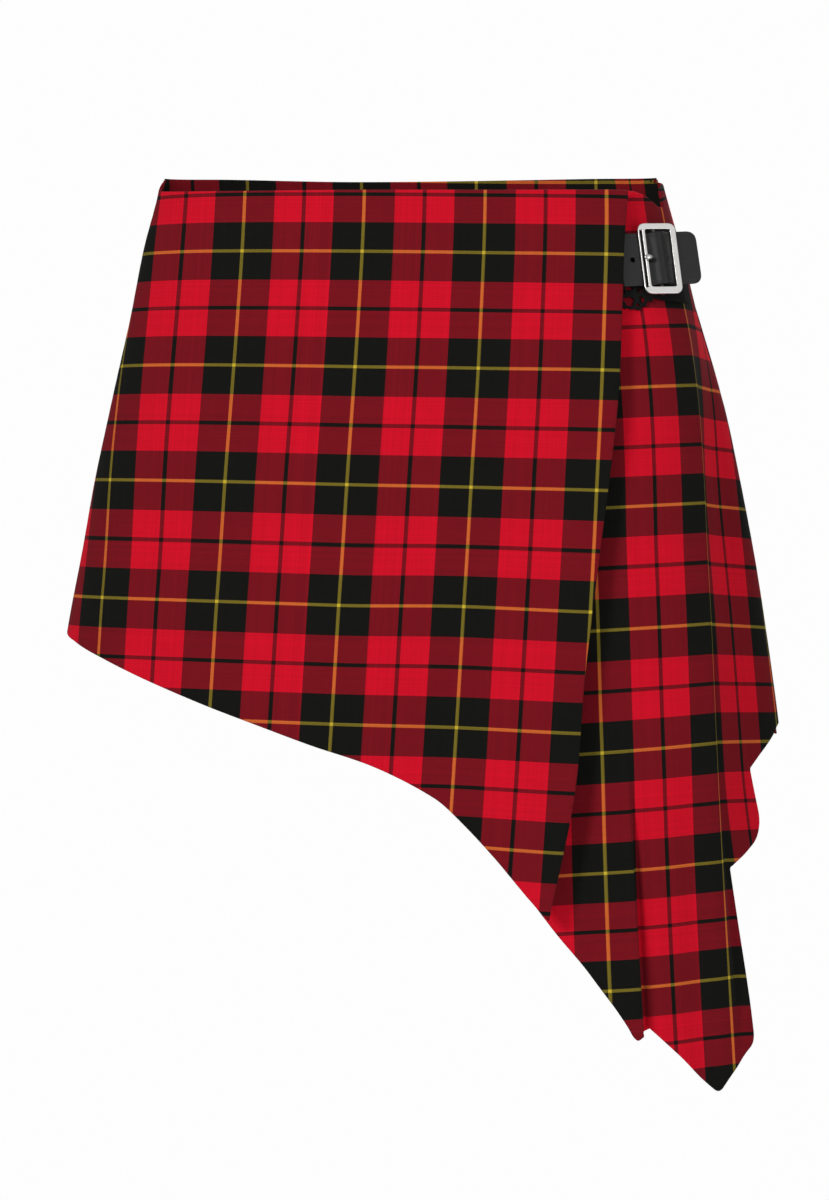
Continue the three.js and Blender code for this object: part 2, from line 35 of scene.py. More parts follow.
# ---------------------------------------------------------------- the worn form
# z, left, right, side y, front x, front y, back x, back y, x of the side fold. Each ring is four
# quarter ellipses that meet at its leftmost, rightmost, frontmost and backmost points.
SECTIONS = [
    (18, -156.5, 152, 3, 115, -50, -40, 39, 147),
    (0, -159.7, 156.5, 0, 115, -55, -40, 42, 149.5),
    (-31, -167.6, 165, -3, 114.5, -64, -38, 52, 155),
    (-78, -176.1, 178.5, -8, 113, -76, -34, 66, 165.5),
    (-125, -186.3, 191.3, -12, 111.5, -88, -30, 80, 171.3),
    (-171, -196, 200, -15, 110, -97, -27, 92, 174),
    (-217, -204, 207.6, -17, 109, -104, -25, 101, 175.5),
    (-263, -212.7, 214.3, -20, 108, -110, -25, 108, 177.5),
    (-325, -221.8, 223, -20, 107, -116, -25, 116, 179.7),
    (-400, -231, 231, -20, 106, -122, -25, 122, 182.8),
    (-480, -238.5, 237, -20, 105, -127, -25, 127, 186.7),
    (-560, -245, 242, -20, 104, -131, -25, 131, 191),
]
FORM_TOP = 20
FORM_BOTTOM = -564
QUARTER_STEPS = 96
AROUND_STEPS = 1536

CLOTH = 1.6  # thickness of the woven cloth
SEAM_GAP = 0.3  # clearance between strap, buckle, prong and patch
SEAM_WRAP = 6  # how far the side seams sit behind the widest point
BACK_SEAM = 5.9  # the back reaches the side seams, sewn edge to edge

# ---------------------------------------------------------------- the cut edges
WRAP_EDGE = [  # z, x
    (0, 127.4),
    (-30, 124.8),
    (-62, 123.6),
    (-130, 120),
    (-220, 109.4),
    (-290, 100.6),
    (-362, 94),
    (-434, 79.2),
]
APRON_HEM = [  # x, z
    (-212.5, -266),
    (-207, -273),
    (-184.5, -284.5),
    (-159, -296.5),
    (-125, -310.6),
    (-95, -321.8),
    (-62, -333.9),
    (-23, -347),
    (12, -365),
    (27, -378),
    (47.5, -399.5),
    (66, -421.5),
    (78.8, -436),
]
APRON_LIFT = [(0, 4.6), (-28, 6.6), (-62, 7.2), (-120, 9.5), (-200, 12), (-320, 14), (-440, 16)]
LIFT_UNDER = 2.6  # stand-off over the hidden part of the side panel
LIFT_RUN = 90  # cloth over which the lift grows to the wrap edge
LIFT_SEAM_RUN = 70  # cloth over which it falls to nothing at the left seam
RIPPLE = 0.5  # size of the cloth's slight unevenness
QUIET_DEPTH = 120  # depth below the waist at which the apron's unevenness is full
APRON_TOP = [  # distance from the left seam, rise
    (0, 12.6),
    (4.5, 11.5),
    (8.5, 7),
    (14, 4.6),
    (60, 2.2),
    (140, 1.2),
    (240, 0.3),
    (350, 0),
]

# Side panel: distance across the cloth from the side fold, height, rounding of the corner.
SIDE_HEM = [
    (-212, -330, 3),
    (-175, -352, 0),
    (-143, -392, 0),
    (-105.5, -445, 8),
    (-90.5, -463.5, 6),
    (-74, -487.5, 4),
    (-67.5, -498.5, 4),
    (-65, -504.2, 2),
    (-62.4, -506.8, 2),
    (-59.4, -504.6, 2),
    (-56.5, -502.5, 1),
    (-54, -499.5, 0.8),
    (-47.5, -505.5, 3),
    (-32.5, -519.5, 5),
    (-22.5, -529.5, 4),
    (-10.4, -540, 4),
    (-4.5, -533, 4),
    (2, -526.5, 4),
    (10.5, -518, 4),
    (18.8, -511, 6),
    (18, -489.5, 6),
    (15.5, -448, 8),
    (13.6, -408, 0.8),
    (30, -401, 6),
    (45, -392.5, 7),
    (50.5, -381, 6),
    (45.5, -350, 0.8),
    (60, -339, 5),
    (71, -329.5, 5),
    (76.5, -324.5, 4),
]
SIDE_HEM_END = -322
SIDE_TOP = [
    (-212, -1),
    (-38, -0.8),
    (-30, 0.4),
    (-24, 0.2),
    (-16, -1.6),
    (-8, -5.5),
    (-3.5, -7.6),
    (2.7, -7.8),
    (3.5, 2.2),
    (5, 4.2),
    (12, 6.8),
    (24, 9.6),
    (40, 12.8),
]
CRISPNESS = 3  # how sharply a crisp fold breaks at its left foot
FOLD_RIGHT = [(-60, 34), (-170, 38), (-300, 60), (-480, 64)]  # right flank of the side fold
# at, left flank, right flank, height, crisp, starts, full, fades, gone
SIDE_FOLDS = [
    (30, 30, FOLD_RIGHT, -13, True, -20, -200, -340, -530),
    (76, 22, 20, 2, False, -120, -300, -500, -560),
    (-59, 38, 3.5, 7, False, -300, -460, -550, -600),
    (-20, 18, 16, -2.2, False, -300, -420, -550, -600),
    (-57.4, 1.6, 4.5, -5, False, -340, -420, -550, -600),
    (8, 6, 9, -2.5, False, -190, -300, -470, -540),
]

BACK_HEM = [(0, -330.5), (0.25, -320), (0.5, -305), (0.75, -288), (1, -266)]
BACK_TOP = [(0, 14.5), (0.15, 15.8), (0.6, 15.3), (0.85, 15.8), (1, 14)]
BACK_FLUTES = [  # share of the width, half width, height
    (0.1, 0.07, 5),
    (0.24, 0.06, -4),
    (0.37, 0.08, 7),
    (0.52, 0.06, -5),
    (0.66, 0.09, 6),
    (0.82, 0.06, -4),
    (0.92, 0.05, 3),
]
FLUTE_STARTS = -40
FLUTE_FULL = -310

# ---------------------------------------------------------------- the tartan's layout
SETT_ACROSS = 74.3  # one repeat of the stripes across the cloth
SETT_DOWN = 71.8
SIDE_SETT_DOWN = 71.0
APRON_WEFT = 40.2  # depth of the apron's first yellow weft
SIDE_WEFT = 49
BACK_WEFT = -15
BACK_TILT = -0.02
BACK_TUCK = 29  # cloth taken up in a small tuck beside the right seam, at the waist
BACK_TUCK_RUN = 42
BACK_TUCK_DEPTH = 60  # the tuck dies away over this depth
BACK_LEFT_SETT = 72.4  # the repeat of the half towards the left seam
BACK_RIGHT_SETT = 76
BACK_WARP_X = 39.1  # x of a yellow warp at the back of the waist
APRON_DRIFT = -7.5e-5  # the apron's yellow warp leans left as it goes down
APRON_TILT = [(0, 0.017), (-180, 0.031), (-440, 0.032)]
# How far the wefts ride up at the far side, half way, and at the wrap edge.
RAISED_FAR = [(-180, 0), (-250, -0.4), (-325, 1.1), (-440, 2)]
RAISED_MIDDLE = [(-60, 0), (-107, 0.6), (-180, 0.5), (-250, 1.3), (-325, 1.8), (-400, 4.8), (-440, 6)]
RAISED_EDGE = [(-60, 0), (-107, 1), (-180, 0.7), (-250, 0.5), (-325, 1), (-400, 2.9), (-440, 3.4)]
RAISED_RUN = 75  # cloth between those three places
APRON_CLOSER = [(0, 0.0166), (-140, 0.0045), (-250, 0)]  # the warps stand closer at the waist
APRON_EASE = [(-380, 8), (-300, 5.5), (-235, 0), (200, 0)]  # the last warps before the left seam
APRON_EASE_DOWN = [(20, 1.6), (-105, 1.5), (-250, 0.45), (-440, 0.2)]
SIDE_TILT_LEFT = [(-190, 0.055), (-262, 0.056), (-334, 0.07), (-560, 0.075)]
SIDE_TILT_RIGHT = [  # z, slope of the wefts
    (12, 0.3),
    (-15, 0.24),
    (-50, 0.02),
    (-90, -0.015),
    (-150, -0.04),
    (-260, -0.04),
    (-330, -0.015),
]
SIDE_SHIFT_AND_SHADE = [  # z, how far the wefts are shifted
    (-560, 6.5),
    (-510, 4.7),
    (-482, 3.3),
    (-447, 2.6),
    (-412, 1),
    (-380, 0.2),
    (-340, 0),
    (-262, 0),
    (-220, 1.3),
    (-150, 1.4),
    (-110, 2.1),
    (-82, 3),
    (-76, 3),
    (-71, -4.6),
    (-64, -4.6),
    (-45, 3),
    (-20, 8.8),
    (0, 9.4),
    # Above z 0 the wefts are squeezed so the black weft band lies over the top of the wall right of the side
    # fold: painted shade along that top edge.
    (1.5, 4),
    (4, -6),
    (16, -8),
]
SIDE_STRETCH = [(-560, -0.042), (-500, -0.039), (-470, -0.036), (-400, -0.018), (-330, 0), (20, 0)]
SIDE_WARP = 0.7  # the yellow warp sits just round the side fold
THREADS = 300  # threads in one repeat

# ---------------------------------------------------------------- strap and buckle
STRAP_AT = (128, -43)
STRAP_TURN = 4  # degrees the strap climbs to the right
STRAP_DROP = -1.3
STRAP_START = -6.5
STRAP_END = 45.7
STRAP_SLANT = -0.6
STRAP_HEIGHT = 33.6
STRAP_THICK = 1.8
STRAP_CORNER = 6.5
STRAP_LIFT = 2.7
HOLE_RADIUS = 1.3
PRONG_HOLE = 1.7
PRONG_AT = 13.1
HOLES = [(2.4, HOLE_RADIUS), (PRONG_AT, PRONG_HOLE)]
PIN_HOLES = [24.9, 36.1]
PIN_RADIUS = 0.55
BUCKLE_AT = 19.1
BUCKLE_UP = -0.6
BUCKLE_WIDE = 24.4
BUCKLE_HIGH = 44.7
BUCKLE_TILT = -2
BUCKLE_THICK = 2
BAND_LEFT = 4.6
BAND_RIGHT = 3.6
BAND_TOP = 3.7
BAND_BOTTOM = 4.5
FRAME_BACK = STRAP_LIFT + STRAP_THICK + SEAM_GAP
FRAME_FRONT = FRAME_BACK + BUCKLE_THICK
BAR_WIDE = 2

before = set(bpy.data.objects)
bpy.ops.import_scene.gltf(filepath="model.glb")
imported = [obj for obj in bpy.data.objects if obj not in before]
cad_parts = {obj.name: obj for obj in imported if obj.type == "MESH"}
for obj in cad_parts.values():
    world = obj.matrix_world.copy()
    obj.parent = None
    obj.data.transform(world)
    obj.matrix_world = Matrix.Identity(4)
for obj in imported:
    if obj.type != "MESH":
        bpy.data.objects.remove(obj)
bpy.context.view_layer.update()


# ---------------------------------------------------------------- curves
def follow(rows, at):
    """Smooth curve through rows of (place, value)."""
    table = np.array(sorted((row[0], row[1]) for row in rows), float)
    key, value = table.T
    at = np.clip(np.asarray(at, float), key[0], key[-1])
    i = np.clip(np.searchsorted(key, at) - 1, 0, len(key) - 2)
    before = np.maximum(i - 1, 0)
    after = np.minimum(i + 2, len(key) - 1)
    span = key[i + 1] - key[i]
    t = (at - key[i]) / span
    slope_a = (value[i + 1] - value[before]) / (key[i + 1] - key[before]) * span
    slope_b = (value[after] - value[i]) / (key[after] - key[i]) * span
    t2 = t * t
    t3 = t2 * t
    return (
        (2 * t3 - 3 * t2 + 1) * value[i]
        + (t3 - 2 * t2 + t) * slope_a
        + (3 * t2 - 2 * t3) * value[i + 1]
        + (t3 - t2) * slope_b
    )


def smooth(t):
    s = np.clip(t, 0, 1)
    return s * s * (3 - 2 * s)


def mix(a, b, t):
    return a + (b - a) * t


# ---------------------------------------------------------------- the form as tables over height
levels = np.arange(FORM_BOTTOM, FORM_TOP + 1.0)
column = [None] + [follow([(row[0], row[i]) for row in SECTIONS], levels) for i in range(1, 9)]
_, left_x, right_x, side_y, front_x, front_y, back_x, back_y, crease_x = column


def make_rings():
    """Points and outward normals of every level's ring at even shares of the way round, from its
    frontmost point to the right, with its length and the places of its widest points."""
    angle = np.arange(QUARTER_STEPS) / QUARTER_STEPS * math.pi / 2
    low, high = np.sin(angle), np.cos(angle)
    quarters = [
        (front_x, right_x - front_x, front_y - side_y, low, high),
        (back_x, right_x - back_x, back_y - side_y, high, low),
        (back_x, left_x - back_x, back_y - side_y, low, high),
        (front_x, left_x - front_x, front_y - side_y, high, low),
    ]
    xs = np.concatenate([x0[:, None] + np.outer(ax, on) for x0, ax, _, on, _ in quarters], 1)
    ys = np.concatenate([side_y[:, None] + np.outer(ay, on) for _, _, ay, _, on in quarters], 1)
    xs = np.concatenate([xs, xs[:, :1]], 1)
    ys = np.concatenate([ys, ys[:, :1]], 1)
    step = np.hypot(np.diff(xs, axis=1), np.diff(ys, axis=1))
    arc = np.concatenate([np.zeros((len(levels), 1)), np.cumsum(step, 1)], 1)
    length = arc[:, -1]
    share = np.linspace(0, 1, AROUND_STEPS + 1)
    x = np.array([np.interp(share * p, a, row) for p, a, row in zip(length, arc, xs)])
    y = np.array([np.interp(share * p, a, row) for p, a, row in zip(length, arc, ys)])
    along_x = np.roll(x[:, :-1], -1, 1) - np.roll(x[:, :-1], 1, 1)
    along_y = np.roll(y[:, :-1], -1, 1) - np.roll(y[:, :-1], 1, 1)
    size = np.hypot(along_x, along_y)
    normal_x = np.concatenate([along_y / size, (along_y / size)[:, :1]], 1)
    normal_y = np.concatenate([-along_x / size, (-along_x / size)[:, :1]], 1)
    rings = np.stack([x, y, normal_x, normal_y], 2)
    return rings, length, arc[:, QUARTER_STEPS], arc[:, 3 * QUARTER_STEPS] - length


rings, ring_length, rightmost, leftmost = make_rings()


def at_level(values, z):
    return np.interp(z, levels, values)


def on_form(z, w, offset):
    """Points at height z and arc length w from the frontmost point, moved out by offset."""
    z, w, offset = np.broadcast_arrays(*(np.asarray(a, float) for a in (z, w, offset)))
    place = np.clip(z - FORM_BOTTOM, 0, len(levels) - 1.001)
    lower = place.astype(int)
    rise = (place - lower)[..., None]
    found = 0
    for level, weight in ((lower, 1 - rise), (lower + 1, rise)):
        share = np.mod(w, ring_length[level]) / ring_length[level] * AROUND_STEPS
        i = np.clip(share.astype(int), 0, AROUND_STEPS - 1)
        t = (share - i)[..., None]
        found = found + weight * mix(rings[level, i], rings[level, i + 1], t)
    size = np.hypot(found[..., 2], found[..., 3])
    x = found[..., 0] + found[..., 2] / size * offset
    y = found[..., 1] + found[..., 3] / size * offset
    return np.stack([x, y, z], -1)


def arc_at_x(z, x):
    """Arc length at which the front half of the ring passes x."""
    z, x = np.broadcast_arrays(np.asarray(z, float), np.asarray(x, float))
    low, high = at_level(leftmost, z), at_level(rightmost, z)
    for _ in range(40):
        middle = (low + high) / 2
        less = on_form(z, middle, 0)[..., 0] < x
        low = np.where(less, middle, low)
        high = np.where(less, high, middle)
    return (low + high) / 2


fold_line = arc_at_x(levels, crease_x)
wrap_line = arc_at_x(levels, follow(WRAP_EDGE, levels))


# ---------------------------------------------------------------- where the cloth lies
def ripple(w, z, size):
    """Slight unevenness of hanging cloth."""
    a = np.sin(w / 23.0 + z / 61.0) * np.sin(z / 37.0 + 1.3)
    b = np.sin(w / 13.0 - z / 47.0 + 2.1) * np.sin(z / 29.0 + w / 71.0)
    c = np.sin(w / 41.0 + 0.7) * np.sin(z / 83.0 - w / 57.0)
    return size * (0.4 * a + 0.25 * b + 0.6 * c)


def apron_lift(w, z):
    left = at_level(leftmost, z) - SEAM_WRAP
    right = at_level(wrap_line, z)
    near_edge = smooth(1 - (right - w) / LIFT_RUN)
    off_seam = smooth((w - left) / LIFT_SEAM_RUN)
    return mix(LIFT_UNDER + CLOTH, follow(APRON_LIFT, z) + CLOTH, near_edge) * off_seam


def apron_place(w, z, offset):
    quiet = smooth(-z / QUIET_DEPTH)
    return on_form(z, w, apron_lift(w, z) + ripple(w, z, RIPPLE) * quiet + offset)


def side_height(across, z, folds=None):
    height = np.zeros(np.broadcast(across, z).shape)
    for at, left, right, tall, crisp, starts, full, fades, gone in folds or SIDE_FOLDS:
        grown = smooth((starts - z) / (starts - full)) * smooth((z - gone) / (fades - gone))
        offset = across - at
        flank = follow(right, z) if isinstance(right, list) else right
        t = np.minimum(np.abs(offset) / np.where(offset < 0, left, flank), 1)
        profile = 0.5 * (1 + np.cos(math.pi * t))
        if crisp:
            profile = np.where(offset < 0, 1 - t**CRISPNESS, profile)
        height = height + tall * grown * profile
    return height


def side_place(across, z, offset):
    return on_form(z, at_level(fold_line, z) + across, side_height(across, z) + offset)


def side_reach(z):
    return at_level(rightmost, z) + SEAM_WRAP - at_level(fold_line, z)


def back_limits(z):
    right = at_level(rightmost, z) + BACK_SEAM
    left = at_level(leftmost + ring_length, z) - BACK_SEAM
    return right, left


def back_place(w, z, offset):
    right, left = back_limits(z)
    share = (w - right) / (left - right)
    height = ripple(w, z, RIPPLE)
    for at, half, tall in BACK_FLUTES:
        height = height + tall * 0.5 * (1 + np.cos(math.pi * np.minimum(np.abs(share - at) / half, 1)))
    grown = smooth((FLUTE_STARTS - z) / (FLUTE_STARTS - FLUTE_FULL))
    return on_form(z, w, height * grown + offset)


# ---------------------------------------------------------------- outlines on the flat cloth
CORNER_STEPS = 7
HEM_STEP = 2.4
CLOTH_GRID = 2.7
SIDE_GRID = 2.5
SHORTEST_SIDE = 0.25


def outline(corners, step):
    """Closed outline through corners of (x, y, rounding), with no side longer than step."""
    points = []
    count = len(corners)
    for i, (x, y, rounding) in enumerate(corners):
        here = np.array((x, y), float)
        if rounding <= 0:
            points.append(here)
            continue
        ends = []
        for other in (corners[i - 1], corners[(i + 1) % count]):
            away = np.array(other[:2], float) - here
            size = np.linalg.norm(away)
            ends.append(here + away / size * min(rounding, size * 0.48))
        for t in np.linspace(0, 1, CORNER_STEPS):
            points.append((1 - t) ** 2 * ends[0] + 2 * t * (1 - t) * here + t * t * ends[1])
    dense = []
    for a, b in zip(points, points[1:] + points[:1]):
        size = np.linalg.norm(b - a)
        if size < SHORTEST_SIDE:
            continue
        parts = max(1, math.ceil(size / step))
        dense.extend(mix(a, b, k / parts) for k in range(parts))
    return np.array(dense)


def inside(points, loop):
    """Which points are inside a closed loop."""
    x, y = points.T
    result = np.zeros(len(points), bool)
    for (ax, ay), (bx, by) in zip(loop, np.roll(loop, -1, 0)):
        if ay == by:
            continue
        crosses = (ay > y) != (by > y)
        result ^= crosses & (x < (bx - ax) * (y - ay) / (by - ay) + ax)
    return result


def nearest(points, loop):
    """Distance from each point to the closest side of a loop."""
    best = np.full(len(points), 1e9)
    for a, b in zip(loop, np.roll(loop, -1, 0)):
        d = b - a
        t = np.clip((points - a) @ d / (d @ d), 0, 1)
        best = np.minimum(best, np.hypot(*(points - a - t[:, None] * d).T))
    return best


def outward(loop):
    """Unit vector pointing out of a counterclockwise loop at each of its points."""
    d = np.roll(loop, -1, 0) - loop
    side = np.stack([d[:, 1], -d[:, 0]], 1) / np.hypot(*d.T)[:, None]
    both = side + np.roll(side, 1, 0)
    return both / np.maximum(np.hypot(*both.T), 0.6)[:, None]


RIM_STEPS = 4


def slab(name, loops, grid, place, thick, uv_of, layer, extra=(), rim_round=None):
    """Closed sheet of even thickness over a flat region. loops[0] is its counterclockwise outline
    and the others are clockwise holes. place(x, y, offset) puts it in space; its edges are round.
    With rim_round only that much of the edge is round and the two faces are shaded flat."""
    low, high = loops[0].min(0), loops[0].max(0)
    xs = np.arange(math.ceil(low[0] / grid) * grid, high[0], grid)
    for x in extra:
        xs = np.append(xs[np.abs(xs - x) > 0.3 * grid], x)
    ys = np.arange(math.ceil(low[1] / grid) * grid, high[1], grid)
    field = np.array(np.meshgrid(xs, ys)).reshape(2, -1).T
    field = field[inside(field, loops[0])]
    for loop in loops[1:]:
        field = field[~inside(field, loop)]
    radius = rim_round or thick / 2
    for loop in loops:
        field = field[nearest(field, loop) > max(0.5 * grid, 1.3 * radius)]
    points = np.concatenate([*loops, field])
    edges = []
    start = 0
    for loop in loops:
        n = len(loop)
        edges += [(start + i, start + (i + 1) % n) for i in range(n)]
        start += n
    made = delaunay_2d_cdt([Vector(p) for p in points], edges, [], 0, 1e-6)
    flat = np.array([tuple(v) for v in made[0]])
    origin = [found[0] if found else -1 for found in made[3]]
    triangles = np.array([f for f in made[2] if len(f) == 3])
    middle = flat[triangles].mean(1)
    keep = inside(middle, loops[0])
    for loop in loops[1:]:
        keep &= ~inside(middle, loop)
    triangles = triangles[keep]
    a, b, c = (flat[triangles[:, i]] for i in range(3))
    turn = (b - a)[:, 0] * (c - a)[:, 1] - (b - a)[:, 1] * (c - a)[:, 0]
    triangles[turn < 0] = triangles[turn < 0][:, ::-1]
    pulled = flat.copy()
    rim_out = np.zeros_like(flat)
    out_of = np.concatenate([outward(loop) for loop in loops])
    for i, source in enumerate(origin):
        if 0 <= source < len(out_of):
            rim_out[i] = out_of[source]
    pulled -= rim_out * radius
    count = len(flat)
    flats = [pulled, pulled]
    offsets = [np.zeros(count), np.full(count, -thick)]
    faces = [*map(tuple, triangles), *map(tuple, triangles[:, ::-1] + count)]
    sides = {}
    for t in triangles:
        for p, q in ((t[0], t[1]), (t[1], t[2]), (t[2], t[0])):
            sides[(int(p), int(q))] = True
    border = [(p, q) for p, q in sides if (q, p) not in sides]
    rim = sorted({p for p, _ in border})
    where = {p: i for i, p in enumerate(rim)}
    rows = [{p: p for p in rim}]
    base = 2 * count
    quarter = [math.pi / 2 * k / (RIM_STEPS // 2) for k in range(1, RIM_STEPS // 2 + 1)]
    profile = [(1 - math.sin(a), -radius * (1 - math.cos(a))) for a in quarter]
    lower_half = [(pull, -thick - drop) for pull, drop in profile[::-1]]
    if rim_round is None:
        lower_half = lower_half[1:]
    for pull, offset in [*profile, *lower_half]:
        flats.append(flat[rim] - rim_out[rim] * radius * pull)
        offsets.append(np.full(len(rim), offset))
        rows.append({p: base + where[p] for p in rim})
        base += len(rim)
    rows.append({p: p + count for p in rim})
    for upper, lower in zip(rows, rows[1:]):
        faces += [(upper[p], lower[p], lower[q], upper[q]) for p, q in border]
    flats = np.concatenate(flats)
    offsets = np.concatenate(offsets)
    spots = place(flats[:, 0], flats[:, 1], offsets) * MM
    mesh = bpy.data.meshes.new(name)
    mesh.from_pydata(spots.tolist(), [], [tuple(int(i) for i in f) for f in faces])
    maps = uv_of(flats[:, 0], flats[:, 1])
    at = np.zeros(len(mesh.loops), np.int32)
    mesh.loops.foreach_get("vertex_index", at)
    uv = mesh.uv_layers.new(name=layer)
    uv.data.foreach_set("uv", np.stack(maps, 1)[at].astype(np.float32).ravel())
    mesh.shade_smooth()
    if rim_round is not None:
        on_rim = np.arange(len(mesh.polygons)) >= 2 * len(triangles)
        mesh.polygons.foreach_set("use_smooth", on_rim)
    return show(name, mesh)


def show(name, mesh):
    piece = bpy.data.objects.new(name, mesh)
    bpy.context.scene.collection.objects.link(piece)
    return piece


# ---------------------------------------------------------------- node helpers
def new_material(name):
    material = bpy.data.materials.new(name)
    material.use_nodes = True
    tree = material.node_tree
    tree.nodes.clear()
    out = tree.nodes.new("ShaderNodeOutputMaterial")
    shader = tree.nodes.new("ShaderNodeBsdfPrincipled")
    tree.links.new(shader.outputs[0], out.inputs[0])
    return material, tree, shader


def feed(tree, socket, value):
    if isinstance(value, bpy.types.NodeSocket):
        tree.links.new(value, socket)
    else:
        socket.default_value = value


def math_node(tree, operation, *values):
    node = tree.nodes.new("ShaderNodeMath")
    node.operation = operation
    for socket, value in zip(node.inputs, values):
        feed(tree, socket, value)
    return node.outputs[0]


def blend_colour(tree, factor, a, b, how="MIX"):
    node = tree.nodes.new("ShaderNodeMix")
    node.data_type = "RGBA"
    node.blend_type = how
    feed(tree, node.inputs[0], factor)
    feed(tree, node.inputs[6], a)
    feed(tree, node.inputs[7], b)
    return node.outputs[2]


def noise_node(tree, vector, scale, detail=2.0, rough=0.5):
    node = tree.nodes.new("ShaderNodeTexNoise")
    feed(tree, node.inputs["Vector"], vector)
    node.inputs["Scale"].default_value = scale
    node.inputs["Detail"].default_value = detail
    node.inputs["Roughness"].default_value = rough
    return node.outputs[0]


def spread(tree, value, low, high):
    """value from 0..1 to low..high"""
    node = tree.nodes.new("ShaderNodeMapRange")
    feed(tree, node.inputs[0], value)
    node.inputs[3].default_value = low
    node.inputs[4].default_value = high
    return node.outputs[0]


def bump_node(tree, height, strength, distance, under=None):
    node = tree.nodes.new("ShaderNodeBump")
    node.inputs["Strength"].default_value = strength
    node.inputs["Distance"].default_value = distance
    feed(tree, node.inputs["Height"], height)
    if under is not None:
        feed(tree, node.inputs["Normal"], under)
    return node.outputs[0]


def place_node(tree):
    return tree.nodes.new("ShaderNodeTexCoord").outputs["Object"]


def screen(red, green, blue):
    """A display colour in 0..255 as 0..1, still display-encoded."""
    return (red / 255, green / 255, blue / 255, 1)


# ---------------------------------------------------------------- tartan
RED = screen(199, 21, 41)
BLACK = screen(25, 25, 23)
YELLOW = screen(190, 166, 52)
# Stripes from a yellow line (0) to the thin black line halfway to the next one (1).
STRIPES = [(0, YELLOW), (0.0228, BLACK), (0.507, RED), (0.967, BLACK)]
DISPLAY_GAMMA = 2.2
TWILL = 4  # threads in one step of the twill
ABOVE_ZERO = 4e4  # a multiple of the twill that keeps the count positive
FLOAT_SHARE = 0.61  # how much of the colour comes from the thread that lies on top
SLUB = 0.07


def stripes(tree, place):
    """Display colour of the threads at a place counted in repeats."""
    near = math_node(tree, "MULTIPLY", math_node(tree, "PINGPONG", place, 0.5), 2.0)
    ramp = tree.nodes.new("ShaderNodeValToRGB")
    ramp.color_ramp.interpolation = "CONSTANT"
    points = ramp.color_ramp.elements
    while len(points) < len(STRIPES):
        points.new(0.5)
    for point, (at, colour) in zip(points, STRIPES):
        point.position = at
        point.color = colour
    feed(tree, ramp.inputs[0], near)
    return ramp.outputs[0]


def tartan():
    material, tree, shader = new_material("tartan_twill")
    layout = tree.nodes.new("ShaderNodeUVMap")
    layout.uv_map = "setts"
    split = tree.nodes.new("ShaderNodeSeparateXYZ")
    feed(tree, split.inputs[0], layout.outputs[0])
    thread, order, colour = [], [], []
    for axis in (0, 1):
        counted = math_node(tree, "MULTIPLY", split.outputs[axis], float(THREADS))
        number = math_node(tree, "FLOOR", counted)
        centre = math_node(tree, "DIVIDE", math_node(tree, "ADD", number, 0.5), float(THREADS))
        random = tree.nodes.new("ShaderNodeTexWhiteNoise")
        random.noise_dimensions = "1D"
        feed(tree, random.inputs["W"], math_node(tree, "ADD", number, 0.37 + 11 * axis))
        shade = spread(tree, random.outputs[0], 1 - SLUB, 1 + SLUB)
        dyed = blend_colour(tree, 1.0, stripes(tree, centre), shade, "MULTIPLY")
        thread.append(counted)
        order.append(number)
        colour.append(dyed)
    crossing = math_node(tree, "ADD", order[0], order[1])
    step = math_node(tree, "MODULO", math_node(tree, "ADD", crossing, ABOVE_ZERO), float(TWILL))
    on_top = math_node(tree, "LESS_THAN", step, TWILL / 2 - 0.5)
    share = spread(tree, on_top, 1 - FLOAT_SHARE, FLOAT_SHARE)
    woven = blend_colour(tree, share, colour[1], colour[0])
    gamma = tree.nodes.new("ShaderNodeGamma")
    gamma.inputs[1].default_value = DISPLAY_GAMMA
    feed(tree, gamma.inputs[0], woven)
    cloudy = spread(tree, noise_node(tree, place_node(tree), 38.0, 3.0), 0.93, 1.07)
    base = blend_colour(tree, 1.0, gamma.outputs[0], cloudy, "MULTIPLY")
    feed(tree, shader.inputs["Base Color"], base)
    fuzz = noise_node(tree, place_node(tree), 900.0)
    feed(tree, shader.inputs["Roughness"], spread(tree, fuzz, 0.78, 0.95))
    shader.inputs["Specular IOR Level"].default_value = 0.06
    shader.inputs["Sheen Weight"].default_value = 0.02
    shader.inputs["Sheen Roughness"].default_value = 0.5
    # Round threads: the one on top gives the height.
    crest = []
    for counted in thread:
        crest.append(math_node(tree, "PINGPONG", counted, 0.5))
    top = tree.nodes.new("ShaderNodeMix")
    feed(tree, top.inputs[0], on_top)
    feed(tree, top.inputs[2], crest[1])
    feed(tree, top.inputs[3], crest[0])
    yarn = bump_node(tree, top.outputs[0], 0.35, 0.00018)
    uneven = noise_node(tree, place_node(tree), 420.0, 3.0, 0.6)
    feed(tree, shader.inputs["Normal"], bump_node(tree, uneven, 0.25, 0.0004, yarn))
    return material


def leather(name, dark, light, smoothest, roughest, shine):
    material, tree, shader = new_material(name)
    place = place_node(tree)
    grain = tree.nodes.new("ShaderNodeTexVoronoi")
    grain.feature = "DISTANCE_TO_EDGE"
    grain.inputs["Scale"].default_value = 1500.0
    feed(tree, grain.inputs["Vector"], place)
    cells = math_node(tree, "MINIMUM", math_node(tree, "MULTIPLY", grain.outputs[0], 4.0), 1.0)
    cloudy = noise_node(tree, place, 130.0, 4.0, 0.6)
    ramp = blend_colour(tree, cloudy, dark, light)
    pores = spread(tree, cells, 0.75, 1.0)
    feed(tree, shader.inputs["Base Color"], blend_colour(tree, 1.0, ramp, pores, "MULTIPLY"))
    feed(tree, shader.inputs["Roughness"], spread(tree, cloudy, smoothest, roughest))
    shader.inputs["Specular IOR Level"].default_value = shine
    creases = bump_node(tree, noise_node(tree, place, 260.0, 4.0, 0.6), 0.35, 0.0003)
    feed(tree, shader.inputs["Normal"], bump_node(tree, cells, 0.3, 0.00008, creases))
    return material


